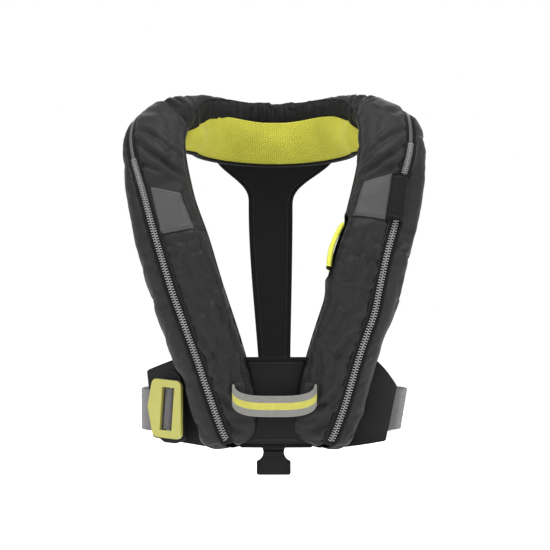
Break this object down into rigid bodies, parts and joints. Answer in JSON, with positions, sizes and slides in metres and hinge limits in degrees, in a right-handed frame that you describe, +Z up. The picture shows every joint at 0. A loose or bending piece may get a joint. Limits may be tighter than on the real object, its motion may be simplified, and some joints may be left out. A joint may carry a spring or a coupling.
{
  "type": "inflatable life jacket",
  "caption": "Automatic-style inflatable life jacket in worn shape, with padded zipped lobes, mesh neck pad, waist belt with metal buckle, harness loop and the inflation parts inside.",
  "frame": {"origin": "middle of the neck opening, level with the place where the collar rests on the shoulders", "axes": "+X towards the wearer's left, +Y towards the wearer's back, +Z up along the body"},
  "size_m": [0.3641, 0.2981, 0.4674],
  "materials": {
    "shell_fabric": "matt woven nylon with a faint sheen",
    "strap_fabric": "matt",
    "mesh_pad": "spacer mesh",
    "binding_tape": "matt",
    "zip": "moulded teeth on woven tape",
    "reflective_fabric": "satin reflective film",
    "belt_webbing": "ribbed webbing",
    "loop_webbing": "ribbed webbing with a yellow stripe",
    "black_webbing": "ribbed webbing",
    "yellow_fabric": "matt",
    "yellow_metal": "satin anodised",
    "navy_plate": "matt",
    "black_plastic": "fine texture",
    "black_rubber": "matt",
    "bladder_film": "coated nylon",
    "white_cord": "braided",
    "steel": "satin",
    "zip_metal": "satin",
    "brass": "satin",
    "green_plastic": "moulded",
    "yellow_plastic": "moulded",
    "orange_plastic": "moulded"
  },
  "bodies": {
    "jacket": {"cover_front_left": "shell_fabric", "cover_front_right": "shell_fabric", "cover_back_left": "shell_fabric", "cover_back_right": "shell_fabric", "collar_cover": "shell_fabric", "neck_pad": "mesh_pad", "neck_binding": "binding_tape", "zip_left": "zip", "zip_right": "zip", "zip_collar": "zip", "zip_garage": "shell_fabric", "reflective_patch_left": "reflective_fabric", "reflective_patch_right": "reflective_fabric", "chest_panel": "shell_fabric", "side_wing_left": "shell_fabric", "side_wing_right": "shell_fabric", "back_yoke": "strap_fabric", "back_strap": "strap_fabric", "belt_webbing": "belt_webbing", "buckle_receiver": "navy_plate", "crotch_web_stub": "black_webbing", "loop_anchors": "black_webbing", "bladder_left": "bladder_film", "bladder_right": "bladder_film", "bladder_collar": "bladder_film", "inflator_body": "black_plastic", "lever_pin": "steel", "oral_tube": "black_rubber", "whistle_lanyard": "white_cord"},
    "buckle_strap": {"belt_buckle_turn": "belt_webbing"},
    "front_buckle": {"buckle_frame": "yellow_metal", "buckle_bar": "steel"},
    "harness_loop": {"harness_loop": "loop_webbing"},
    "pull_handle": {"pull_handle": "yellow_fabric", "trip_cord": "white_cord"},
    "inflator_lever": {"inflator_lever": "brass"},
    "piercing_pin": {"piercing_pin": "steel"},
    "gas_cylinder": {"gas_cylinder": "steel"},
    "cartridge_cap": {"cartridge_cap": "green_plastic"},
    "dust_cap": {"dust_cap": "yellow_plastic"},
    "whistle": {"whistle": "orange_plastic"},
    "zip_slider": {"zip_slider": "zip_metal"},
    "zip_puller": {"zip_puller": "zip_metal"},
    "side_adjuster": {"side_adjuster": "black_plastic", "adjuster_bar": "steel"},
    "crotch_buckle": {"crotch_buckle": "black_plastic"}
  },
  "joints": [
    {"name": "buckle_swing", "type": "hinge", "parent": "jacket", "child": "buckle_strap", "pos_m": [-0.14221, -0.10248, -0.30319], "axis": [-0.068, 0.0392, -0.9969], "range_deg": [0, 70]},
    {"name": "buckle_tilt", "type": "hinge", "parent": "buckle_strap", "child": "front_buckle", "pos_m": [-0.1254, -0.11923, -0.305], "axis": [-0.068, 0.0392, -0.9969], "range_deg": [-8, 10]},
    {"name": "loop_lift", "type": "hinge", "parent": "jacket", "child": "harness_loop", "pos_m": [0, -0.16, -0.272], "axis": [-1, 0, 0], "range_deg": [0, 80]},
    {"name": "handle_pull", "type": "slide", "parent": "jacket", "child": "pull_handle", "axis": [-0.9507, -0.1547, 0.2686], "range_m": [0, 0.045]},
    {"name": "lever_turn", "type": "hinge", "parent": "jacket", "child": "inflator_lever", "pos_m": [0.07979, -0.12856, -0.13698], "axis": [0.1602, -0.9871, 0.0013], "range_deg": [0, 90]},
    {"name": "pin_strike", "type": "slide", "parent": "jacket", "child": "piercing_pin", "axis": [-0.2813, -0.0469, -0.9585], "range_m": [0, 0.0035]},
    {"name": "cylinder_unscrew", "type": "hinge", "parent": "jacket", "child": "gas_cylinder", "pos_m": [0.09087, -0.12677, -0.14658], "axis": [0.2813, 0.0469, 0.9585], "continuous": true},
    {"name": "cap_unscrew", "type": "hinge", "parent": "jacket", "child": "cartridge_cap", "pos_m": [0.10494, -0.12442, -0.09866], "axis": [0.2813, 0.0469, 0.9585], "continuous": true},
    {"name": "dust_cap_pull", "type": "slide", "parent": "jacket", "child": "dust_cap", "axis": [-0.2813, 0.0469, 0.9585], "range_m": [0, 0.012]},
    {"name": "whistle_swing", "type": "hinge", "parent": "jacket", "child": "whistle", "pos_m": [-0.05187, -0.13256, -0.23427], "axis": [-0.1602, -0.9871, 0.0013], "range_deg": [-5, 5]},
    {"name": "slider_run", "type": "slide", "parent": "jacket", "child": "zip_slider", "axis": [-0.1537, -0.3172, -0.9358], "range_m": [0, 0.03]},
    {"name": "puller_lift", "type": "hinge", "parent": "zip_slider", "child": "zip_puller", "pos_m": [0.15334, -0.12909, -0.04053], "axis": [-0.8689, -0.4075, 0.2809], "range_deg": [0, 6]},
    {"name": "adjuster_tilt", "type": "hinge", "parent": "jacket", "child": "side_adjuster", "pos_m": [0.13531, -0.07996, -0.30681], "axis": [0.1109, -0.093, 0.9895], "range_deg": [-8, 2.5]},
    {"name": "crotch_swing", "type": "hinge", "parent": "jacket", "child": "crotch_buckle", "pos_m": [-0.001, -0.122, -0.342], "axis": [1, 0, 0], "range_deg": [-8, 60]}
  ],
  "couplings": [
    {"joint": "lever_turn", "follows": "handle_pull", "rad_per_m": 34.9},
    {"joint": "pin_strike", "follows": "handle_pull", "ratio": 0.0777}
  ]
}
